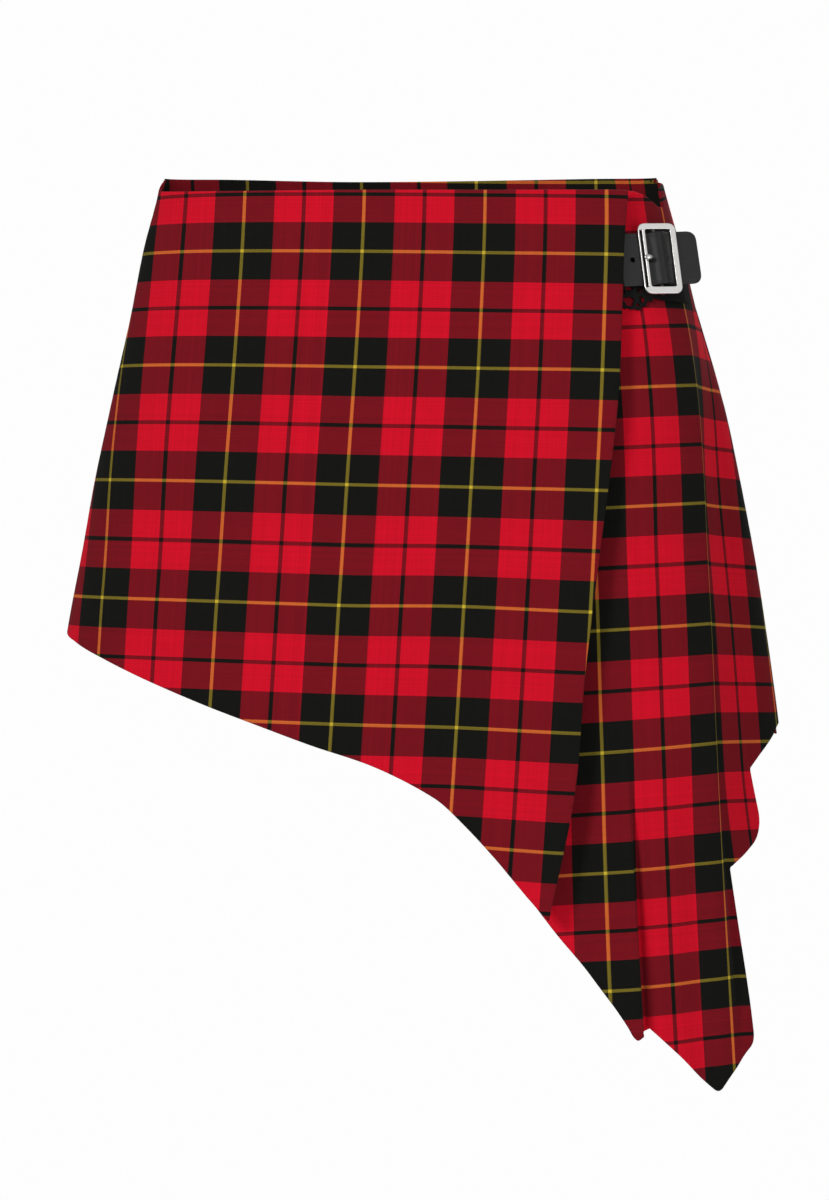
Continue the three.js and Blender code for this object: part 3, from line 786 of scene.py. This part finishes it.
def nickel():
    material, tree, shader = new_material("satin_nickel")
    place = place_node(tree)
    cloudy = noise_node(tree, place, 210.0, 3.0, 0.6)
    tint = blend_colour(tree, cloudy, (0.56, 0.55, 0.53, 1), (0.68, 0.67, 0.65, 1))
    feed(tree, shader.inputs["Base Color"], tint)
    shader.inputs["Metallic"].default_value = 1.0
    feed(tree, shader.inputs["Roughness"], spread(tree, cloudy, 0.24, 0.36))
    streaks = tree.nodes.new("ShaderNodeMapping")
    streaks.inputs["Scale"].default_value = (1.0, 1.0, 0.12)
    feed(tree, streaks.inputs["Vector"], place)
    brushed = noise_node(tree, streaks.outputs[0], 1400.0, 2.0)
    feed(tree, shader.inputs["Normal"], bump_node(tree, brushed, 0.05, 0.00005))
    return material


def dark_thread():
    material, tree, shader = new_material("black_thread")
    place = place_node(tree)
    strands = noise_node(tree, place, 2400.0, 2.0)
    tint = blend_colour(tree, strands, (0.010, 0.010, 0.010, 1), (0.035, 0.034, 0.033, 1))
    feed(tree, shader.inputs["Base Color"], tint)
    shader.inputs["Roughness"].default_value = 0.7
    feed(tree, shader.inputs["Normal"], bump_node(tree, strands, 0.5, 0.0002))
    return material


cloth = tartan()
HIDE_TINTS = ((0.006, 0.006, 0.0063, 1), (0.015, 0.015, 0.0153, 1))
# The buckle patch's dark leather. It also colours the patch's ragged spread below the strap, which is painted
# shadow.
PATCH_AND_SHADOW_TINTS = ((0.004, 0.004, 0.004, 1), (0.012, 0.0115, 0.011, 1))
hide = leather("black_leather", *HIDE_TINTS, 0.32, 0.48, 0.32)
patch_and_shadow_hide = leather("black_rough_leather_and_painted_shadow", *PATCH_AND_SHADOW_TINTS, 0.7, 0.9, 0.1)
metal = nickel()
sewing = dark_thread()


def finish_piece(piece, material, slot, *nodes):
    piece.data.materials.append(material)
    if nodes:
        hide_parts(*nodes)
    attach(piece, BODY)


# ---------------------------------------------------------------- front apron
def seam_points(limit, high, low, count=60):
    z = np.linspace(high, low, count)
    return [(w, h, 0) for w, h in zip(limit(z), z)]


def apron_left(z):
    return at_level(leftmost, z) - SEAM_WRAP


def apron_right(z):
    return at_level(wrap_line, z)


def apron_corners():
    down = seam_points(apron_left, APRON_TOP[0][1], APRON_HEM[0][1])
    x = np.linspace(APRON_HEM[1][0], APRON_HEM[-1][0], 150)
    z = follow(APRON_HEM, x)
    hem = [(w, h, 0) for w, h in zip(arc_at_x(z, x), z)]
    up = seam_points(apron_right, APRON_HEM[-1][1], 0, 90)
    across = np.linspace(apron_right(0), apron_left(0), 160)
    rise = follow(APRON_TOP, across - apron_left(0))
    top = [(w, h, 0) for w, h in zip(across, rise)]
    down[-1] = (*down[-1][:2], 5)
    hem[-1] = (*hem[-1][:2], 2)
    return down + hem + up[1:-1] + [(*up[-1][:2], 2)] + top[1:-1]


def apron_setts(w, z):
    u = (w - APRON_DRIFT * z * z) * (1 + follow(APRON_CLOSER, z))
    u = u + follow(APRON_EASE, w) * follow(APRON_EASE_DOWN, z)
    raised = mix(follow(RAISED_FAR, z), follow(RAISED_MIDDLE, z), smooth(u / RAISED_RUN + 2))
    raised = mix(raised, follow(RAISED_EDGE, z), smooth(u / RAISED_RUN + 1))
    v = -z - follow(APRON_TILT, z) * u + raised
    return u / SETT_ACROSS, (v - APRON_WEFT) / SETT_DOWN


apron_loops = [outline(apron_corners(), HEM_STEP)]
apron = slab("front_apron_cloth", apron_loops, CLOTH_GRID, apron_place, CLOTH, apron_setts, "setts")
finish_piece(apron, cloth, "tartan", "front_apron")

# ---------------------------------------------------------------- side panel
TRACE_STEP = 1.0
TRACE_LEVEL = 4.0


def side_traces():
    """Length of cloth from the side fold, over the folds, for steps across and down."""
    across = np.arange(-216, 170, TRACE_STEP)
    z = np.arange(-548, 16, TRACE_LEVEL)
    grid_a, grid_z = np.meshgrid(across, z)
    height = side_height(grid_a, grid_z, SIDE_FOLDS[:2])
    spots = on_form(grid_z, at_level(fold_line, grid_z) + grid_a, height)
    step = np.hypot(np.diff(spots[..., 0], axis=1), np.diff(spots[..., 1], axis=1))
    length = np.concatenate([np.zeros((len(z), 1)), np.cumsum(step, 1)], 1)
    zero = int(np.argmin(np.abs(across)))
    return across, z, length - length[:, zero : zero + 1]


trace_across, trace_z, trace_length = side_traces()


def cloth_length(across, z):
    i = np.clip((across - trace_across[0]) / TRACE_STEP, 0, len(trace_across) - 1.001)
    j = np.clip((z - trace_z[0]) / TRACE_LEVEL, 0, len(trace_z) - 1.001)
    a, b = i.astype(int), j.astype(int)
    s, t = i - a, j - b
    near = mix(trace_length[b, a], trace_length[b, a + 1], s)
    far = mix(trace_length[b + 1, a], trace_length[b + 1, a + 1], s)
    return mix(near, far, t)


def side_setts(across, z):
    u = cloth_length(across, z) - SIDE_WARP
    u = np.where(u < 0, u * (1 + follow(SIDE_STRETCH, z)), u)
    tilt = np.where(u < 0, follow(SIDE_TILT_LEFT, z), follow(SIDE_TILT_RIGHT, z))
    v = -z + follow(SIDE_SHIFT_AND_SHADE, z) + tilt * u
    return u / SETT_ACROSS, (v - SIDE_WEFT) / SIDE_SETT_DOWN


# Columns of the mesh along the panel's sharp folds.
SIDE_COLUMNS = (-61, -59.2, -58.4, -57.4, -56.2, -54.6, 0, 1.2)


def side_corners():
    up = seam_points(side_reach, SIDE_HEM_END, SIDE_TOP[-1][1], 60)
    top = [(a, z, 1.6 if 0 < i < len(SIDE_TOP) - 1 else 0) for i, (a, z) in enumerate(SIDE_TOP)]
    return SIDE_HEM + up + top[::-1]


side_loops = [outline(side_corners(), HEM_STEP)]
side = slab(
    "side_panel_cloth", side_loops, SIDE_GRID, side_place, CLOTH, side_setts, "setts", SIDE_COLUMNS
)
finish_piece(side, cloth, "tartan", "side_panel")


# ---------------------------------------------------------------- back panel
def back_corners():
    share = np.linspace(0, 1, 80)
    hem_z = follow(BACK_HEM, share)
    right, left = back_limits(hem_z)
    hem = [(w, z, 0) for w, z in zip(mix(right, left, share), hem_z)]
    top_z = follow(BACK_TOP, share)
    right, left = back_limits(top_z)
    top = [(w, z, 0) for w, z in zip(mix(right, left, share), top_z)][::-1]
    down = seam_points(lambda z: back_limits(z)[0], BACK_TOP[0][1], BACK_HEM[0][1])
    up = seam_points(lambda z: back_limits(z)[1], BACK_HEM[-1][1], BACK_TOP[-1][1])
    return down[:-1] + hem + up[1:] + top[1:-1]


def back_warp():
    """Distance of the yellow warp at BACK_WARP_X from the middle of the back, at the waist."""
    right, left = back_limits(0)
    w = np.linspace(right, left, 2000)
    x = on_form(0, w, 0)[:, 0]
    return w[np.argmin(np.abs(x - BACK_WARP_X))] - (right + left) / 2


BACK_START = back_warp()


def back_setts(w, z):
    right, left = back_limits(z)
    u = w - (right + left) / 2 - BACK_START
    u = u - BACK_TUCK * smooth((right + BACK_TUCK_RUN - w) / BACK_TUCK_RUN) * smooth(1 + z / BACK_TUCK_DEPTH)
    across = np.where(u < 0, BACK_RIGHT_SETT, BACK_LEFT_SETT)
    return u / across, (-z - BACK_WEFT - BACK_TILT * u) / SETT_DOWN


back_loops = [outline(back_corners(), HEM_STEP)]
back = slab("back_panel_cloth", back_loops, CLOTH_GRID, back_place, CLOTH, back_setts, "setts")
finish_piece(back, cloth, "tartan", "back_panel")


# ---------------------------------------------------------------- strap plane
def side_at_x(x, z):
    across = arc_at_x(z, x) - at_level(fold_line, z)
    return side_place(across, z, 0)


def strap_plane():
    x, z = STRAP_AT
    step = 4
    across = float(arc_at_x(z, x) - at_level(fold_line, z))
    origin = side_place(across, z, 0)
    along = side_place(across + step, z, 0) - side_place(across - step, z, 0)
    along = along / np.linalg.norm(along)
    rise = side_at_x(x, z + step) - side_at_x(x, z - step)
    out = np.cross(along, rise)
    out = out / np.linalg.norm(out)
    up = np.cross(out, along)
    origin = origin + up * STRAP_DROP
    turn = math.radians(STRAP_TURN)
    along, up = along * math.cos(turn) + up * math.sin(turn), up * math.cos(turn) - along * math.sin(turn)
    return origin, along, up, out


plane_origin, plane_along, plane_up, plane_out = strap_plane()


def on_plane(x, y, height):
    x, y, height = np.broadcast_arrays(*(np.asarray(a, float) for a in (x, y, height)))
    return plane_origin + x[..., None] * plane_along + y[..., None] * plane_up + height[..., None] * plane_out


def circle(x, y, radius, count):
    """A clockwise circle, for a hole."""
    turn = -np.arange(count) / count * 2 * math.pi
    return np.stack([x + radius * np.cos(turn), y + radius * np.sin(turn)], 1)


# ---------------------------------------------------------------- strap
BULGE_AT = 20.6
BULGE_HALF = 7.5
BULGE_HIGH = 2.6
GROOVE = 2.0  # distance of the stitched groove from the strap's edge
GROOVE_DEEP = 0.22
GROOVE_WIDE = 0.35
PIN_DEEP = 0.5
STRAP_GRID = 0.55
STRAP_STEP = 0.8
HALF_STRAP = STRAP_HEIGHT / 2


def strap_place(x, y, offset):
    bulge = BULGE_HIGH * 0.5 * (1 + np.cos(math.pi * np.minimum(np.abs(x - BULGE_AT) / BULGE_HALF, 1)))
    groove = -GROOVE_DEEP * np.exp(-(((np.abs(y) - HALF_STRAP + GROOVE) / GROOVE_WIDE) ** 2))
    for at in PIN_HOLES:
        groove = groove - PIN_DEEP * np.exp(-((x - at) ** 2 + y**2) / PIN_RADIUS**2)
    groove = np.where(offset > -STRAP_THICK / 2, groove, 0)
    return on_plane(x, y, STRAP_LIFT + STRAP_THICK + bulge + groove + offset)


def strap_loops():
    corners = [
        (STRAP_START, -HALF_STRAP, 0.5),
        (STRAP_END + STRAP_SLANT, -HALF_STRAP, STRAP_CORNER),
        (STRAP_END, HALF_STRAP, STRAP_CORNER),
        (STRAP_START, HALF_STRAP, 0.5),
    ]
    loops = [outline(corners, STRAP_STEP)]
    for x, radius in HOLES:
        loops.append(circle(x, 0, radius, 20))
    return loops


def millimetres(x, y):
    return x * MM, y * MM


strap = slab("strap_leather", strap_loops(), STRAP_GRID, strap_place, STRAP_THICK, millimetres, "leather")
finish_piece(strap, hide, "leather", "strap")


def rod_mesh(routes, radius, around):
    """One mesh of closed round rods along routes of points in millimetres."""
    verts, faces = [], []
    for route in routes:
        route = np.asarray(route, float)
        tangent = np.gradient(route, axis=0)
        tangent /= np.linalg.norm(tangent, axis=1)[:, None]
        first = len(verts)
        count = len(route)
        for i in range(count):
            side_dir = np.cross(tangent[i], plane_up + 0.01 * plane_along)
            if np.linalg.norm(side_dir) < 1e-3:
                side_dir = np.cross(tangent[i], plane_along)
            side_dir /= np.linalg.norm(side_dir)
            other = np.cross(tangent[i], side_dir)
            for k in range(around):
                turn = 2 * math.pi * k / around
                verts.append(route[i] + radius * (math.cos(turn) * side_dir + math.sin(turn) * other))
        for i in range(count - 1):
            for k in range(around):
                a = first + i * around + k
                b = first + i * around + (k + 1) % around
                faces.append((a, b, b + around, a + around))
        faces.append(tuple(first + k for k in reversed(range(around))))
        faces.append(tuple(first + (count - 1) * around + k for k in range(around)))
    return verts, faces


def rods(name, routes, radius, around):
    verts, faces = rod_mesh(routes, radius, around)
    mesh = bpy.data.meshes.new(name)
    mesh.from_pydata([tuple(v * MM) for v in verts], [], faces)
    mesh.shade_smooth()
    return show(name, mesh)


STITCH = 1.9
STITCH_GAP = 0.9
STITCH_RADIUS = 0.22
STITCH_ARCH = 0.16


def strap_stitches():
    routes = []
    for y in (HALF_STRAP - GROOVE, -HALF_STRAP + GROOVE):
        x = STRAP_START + 1.5
        while x + STITCH < STRAP_END - 3:
            t = np.linspace(0, 1, 7)
            xs = x + t * STITCH
            rise = STITCH_ARCH * np.sin(math.pi * t) - 0.12
            routes.append(strap_place(xs, np.full(7, y), rise))
            x += STITCH + STITCH_GAP
    return rods("strap_stitches", routes, STITCH_RADIUS, 6)


finish_piece(strap_stitches(), sewing, "leather")


# ---------------------------------------------------------------- buckle
FRAME_GRID = 0.33
FRAME_CORNER = 5.0
FRAME_STEP = 0.6
FRAME_RIM = 0.35  # rounding of the frame's edges
WINDOW_CORNER = 1.6
SLOT_CORNER = 0.8
LIP_WIDE = 1.0
SLOT_WIDE = 1.7
SLOT_HALF = 19.3


def tilted(x, y):
    turn = math.radians(BUCKLE_TILT)
    return (
        BUCKLE_AT + x * math.cos(turn) - y * math.sin(turn),
        BUCKLE_UP + x * math.sin(turn) + y * math.cos(turn),
    )


def frame_place(x, y, offset):
    px, py = tilted(x, y)
    return on_plane(px, py, FRAME_FRONT + offset)


def frame_loops():
    w, h = BUCKLE_WIDE / 2, BUCKLE_HIGH / 2
    outer = [(-w, -h), (w, -h), (w, h), (-w, h)]
    left, right = -w + BAND_LEFT, w - BAND_RIGHT
    low, high = -h + BAND_BOTTOM, h - BAND_TOP
    window = [(left, low), (left, high), (right, high), (right, low)]
    near, far = -w + LIP_WIDE, -w + LIP_WIDE + SLOT_WIDE
    slot = [(near, -SLOT_HALF), (near, SLOT_HALF), (far, SLOT_HALF), (far, -SLOT_HALF)]
    loops = []
    for shape, corner in ((outer, FRAME_CORNER), (window, WINDOW_CORNER), (slot, SLOT_CORNER)):
        loops.append(outline([(x, y, corner) for x, y in shape], FRAME_STEP))
    return loops


buckle = slab(
    "buckle_frame_metal",
    frame_loops(),
    FRAME_GRID,
    frame_place,
    BUCKLE_THICK,
    millimetres,
    "metal",
    rim_round=FRAME_RIM,
)
finish_piece(buckle, metal, "nickel", "buckle_frame")

PRONG_RADIUS = 0.9
PRONG_BALL = (2.7, 1.7, 1.2)  # half its length, width and thickness


def prong_route():
    behind = STRAP_LIFT - SEAM_GAP - PRONG_RADIUS
    tip = FRAME_FRONT + SEAM_GAP + PRONG_BALL[2]
    root = BUCKLE_AT - BAR_WIDE / 2 - SEAM_GAP
    knots = [
        (root, behind),
        (PRONG_AT + 2 * PRONG_RADIUS, behind - 0.1),
        (PRONG_AT + 0.2, STRAP_LIFT + STRAP_THICK / 2),
        (PRONG_AT - 0.1, FRAME_FRONT),
        (PRONG_AT - PRONG_BALL[0] / 2, tip),
    ]
    t = np.arange(len(knots))
    fine = np.linspace(0, len(knots) - 1, 40)
    xs = follow(list(zip(t, [k[0] for k in knots])), fine)
    hs = follow(list(zip(t, [k[1] for k in knots])), fine)
    return on_plane(xs, np.zeros(len(fine)), hs), tip


def make_prong():
    route, tip = prong_route()
    verts, faces = rod_mesh([route], PRONG_RADIUS, 20)
    centre_x = PRONG_AT - PRONG_BALL[0] + 0.6
    first = len(verts)
    rings_up, around = 16, 28
    for i in range(rings_up + 1):
        high = math.pi * i / rings_up
        for k in range(around):
            turn = 2 * math.pi * k / around
            x = centre_x + PRONG_BALL[0] * math.cos(high)
            y = PRONG_BALL[1] * math.sin(high) * math.cos(turn)
            z = tip + PRONG_BALL[2] * math.sin(high) * math.sin(turn)
            verts.append(on_plane(x, y, z))
    for i in range(rings_up):
        for k in range(around):
            a = first + i * around + k
            b = first + i * around + (k + 1) % around
            faces.append((a, b, b + around, a + around))
    mesh = bpy.data.meshes.new("buckle_prong_metal")
    mesh.from_pydata([tuple(v * MM) for v in verts], [], faces)
    mesh.shade_smooth()
    return show("buckle_prong_metal", mesh)


finish_piece(make_prong(), metal, "nickel", "buckle_prong")

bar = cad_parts["buckle_bar"]
bar.data.materials.clear()
bar.data.materials.append(metal)

# ---------------------------------------------------------------- buckle patch, and a painted shadow under the strap
PATCH_LEFT = -27
PATCH_RIGHT = 14.5
PATCH_TOP = -20.5
PATCH_THICK = 1.2
PATCH_LIFT = 0.5
PATCH_GRID = 1.0
PATCH_STEP = 1.0


def to_plane(spots):
    d = spots - plane_origin
    return d @ plane_along, d @ plane_up, d @ plane_out


def patch_place(across, z, offset):
    face = side_place(across, z, PATCH_LIFT + PATCH_THICK)
    x, y, high = to_plane(face)
    near_bar = smooth(1.6 - np.abs(x - BUCKLE_AT) / 5) * smooth(2.4 - np.abs(y) / 9)
    room = np.minimum(STRAP_LIFT - 2 * SEAM_GAP - 2 * PRONG_RADIUS - high, 0)
    return side_place(across, z, PATCH_LIFT + PATCH_THICK + offset + room * near_bar)


# The leather tab under the buckle is the real patch. Its ragged lower-left spread below the strap, out to -49
# across and down to about -74, is a dark sheet for the strap's painted shadow on the cloth.
def patch_and_shadow_corners():
    return [
        (PATCH_LEFT, PATCH_TOP, 4),
        (PATCH_LEFT - 1, -31, 2),
        (-49, -33, 2),
        (-49, -71.5, 1),
        (-47.4, -73.6, 0.6),
        (-45.6, -72.2, 0.6),
        (-43.6, -74, 0.6),
        (-41.4, -72.6, 0.6),
        (-39.6, -74.2, 0.6),
        (-37.2, -73.2, 0.6),
        (-35.6, -70.2, 0.8),
        (-33.8, -72.2, 0.6),
        (-31.6, -67.2, 0.8),
        (-29.4, -69.2, 0.6),
        (-27.4, -66.2, 0.8),
        (-20, -67.2, 1),
        (-6, -67.8, 1),
        (8, -67.5, 3),
        (PATCH_RIGHT, -57, 3),
        (PATCH_RIGHT, PATCH_TOP, 4),
    ]


# Gaps in the painted-shadow spread, where the red cloth shows through.
PATCH_SHADOW_GAPS = [  # across, z, half width, half height
    (-44, -68.4, 3.2, 2.8),
    (-42.2, -60.4, 2.2, 1.3),
    (-36, -61.6, 1.6, 1.0),
    (-35.4, -67.2, 1.6, 2.0),
    (-46.2, -62.6, 1.0, 1.0),
    (-38.8, -70.6, 1.1, 0.9),
]


def shadow_gap(x, z, half_wide, half_high):
    """A clockwise hole with an uneven edge."""
    turn = -np.arange(14) / 14 * 2 * math.pi
    uneven = 1 + 0.16 * np.sin(3 * turn + x) + 0.1 * np.sin(5 * turn + z)
    return np.stack([x + half_wide * uneven * np.cos(turn), z + half_high * uneven * np.sin(turn)], 1)


patch_loops = [outline(patch_and_shadow_corners(), PATCH_STEP), *(shadow_gap(*tear) for tear in PATCH_SHADOW_GAPS)]
patch = slab(
    "buckle_patch_and_painted_shadow", patch_loops, PATCH_GRID, patch_place, PATCH_THICK, millimetres, "leather"
)
finish_piece(patch, patch_and_shadow_hide, "leather", "buckle_patch")

# ---------------------------------------------------------------- camera
VIEW_DISTANCE = 2.4
VIEW_HEIGHT = -0.248
IMAGE_TALL = 0.744  # height of the picture at the waist's plane, in metres
SENSOR = 36.0
camera_data = bpy.data.cameras.new("camera")
camera_data.sensor_width = SENSOR
camera_data.lens = SENSOR * VIEW_DISTANCE / IMAGE_TALL
camera = bpy.data.objects.new("camera", camera_data)
camera.location = (0, -VIEW_DISTANCE, VIEW_HEIGHT)
camera.rotation_euler = (math.pi / 2, 0, 0)
bpy.context.scene.collection.objects.link(camera)
bpy.context.scene.camera = camera


# ---------------------------------------------------------------- light
def soft_light(name, place, size, power, aim=(0, 0, -0.25)):
    data = bpy.data.lights.new(name, "AREA")
    data.shape = "DISK"
    data.size = size
    data.energy = power
    light = bpy.data.objects.new(name, data)
    light.location = place
    light.rotation_euler = (Vector(aim) - Vector(place)).to_track_quat("-Z", "Y").to_euler()
    bpy.context.scene.collection.objects.link(light)


soft_light("key", (-1.6, -2.2, 0.8), 0.8, 44)
soft_light("fill", (1.6, -2.1, -0.5), 1.8, 18)
soft_light("card", (1.5, -2.0, 1.25), 2.2, 8.5)
soft_light("rear_light", (0.6, 2.2, 1.2), 1.6, 20)

BACKDROP = (0.985, 0.985, 0.985, 1)
SKY_LOW = (0.30, 0.30, 0.31, 1)
SKY_HIGH = (1.0, 1.0, 1.0, 1)
SKY_STRENGTH = 0.46
world = bpy.data.worlds.new("studio")
world.use_nodes = True
sky = world.node_tree
sky.nodes.clear()
world_out = sky.nodes.new("ShaderNodeOutputWorld")
seen = sky.nodes.new("ShaderNodeBackground")
seen.inputs[0].default_value = BACKDROP
lit = sky.nodes.new("ShaderNodeBackground")
lit.inputs[1].default_value = SKY_STRENGTH
direction = sky.nodes.new("ShaderNodeTexCoord")
split_sky = sky.nodes.new("ShaderNodeSeparateXYZ")
feed(sky, split_sky.inputs[0], direction.outputs["Generated"])
height_of_sky = math_node(sky, "MULTIPLY_ADD", split_sky.outputs[2], 0.5, 0.5)
feed(sky, lit.inputs[0], blend_colour(sky, height_of_sky, SKY_LOW, SKY_HIGH))
path = sky.nodes.new("ShaderNodeLightPath")
either = sky.nodes.new("ShaderNodeMixShader")
feed(sky, either.inputs[0], path.outputs["Is Camera Ray"])
feed(sky, either.inputs[1], lit.outputs[0])
feed(sky, either.inputs[2], seen.outputs[0])
feed(sky, world_out.inputs[0], either.outputs[0])
bpy.context.scene.world = world
bpy.context.scene.view_settings.view_transform = "Standard"

# ---------------------------------------------------------------- floor
FLOOR_Z = -1.3
FLOOR_HALF = 1.2
floor_mesh = bpy.data.meshes.new("floor")
floor_corners = [(x * FLOOR_HALF, y * FLOOR_HALF, FLOOR_Z) for x, y in ((-1, -1), (1, -1), (1, 1), (-1, 1))]
floor_mesh.from_pydata(floor_corners, [], [(0, 1, 2, 3)])
floor = show("floor", floor_mesh)
paint, paint_tree, paint_shader = new_material("pale_floor")
paint_shader.inputs["Base Color"].default_value = (0.8, 0.8, 0.79, 1)
paint_shader.inputs["Roughness"].default_value = 0.8
floor.data.materials.append(paint)
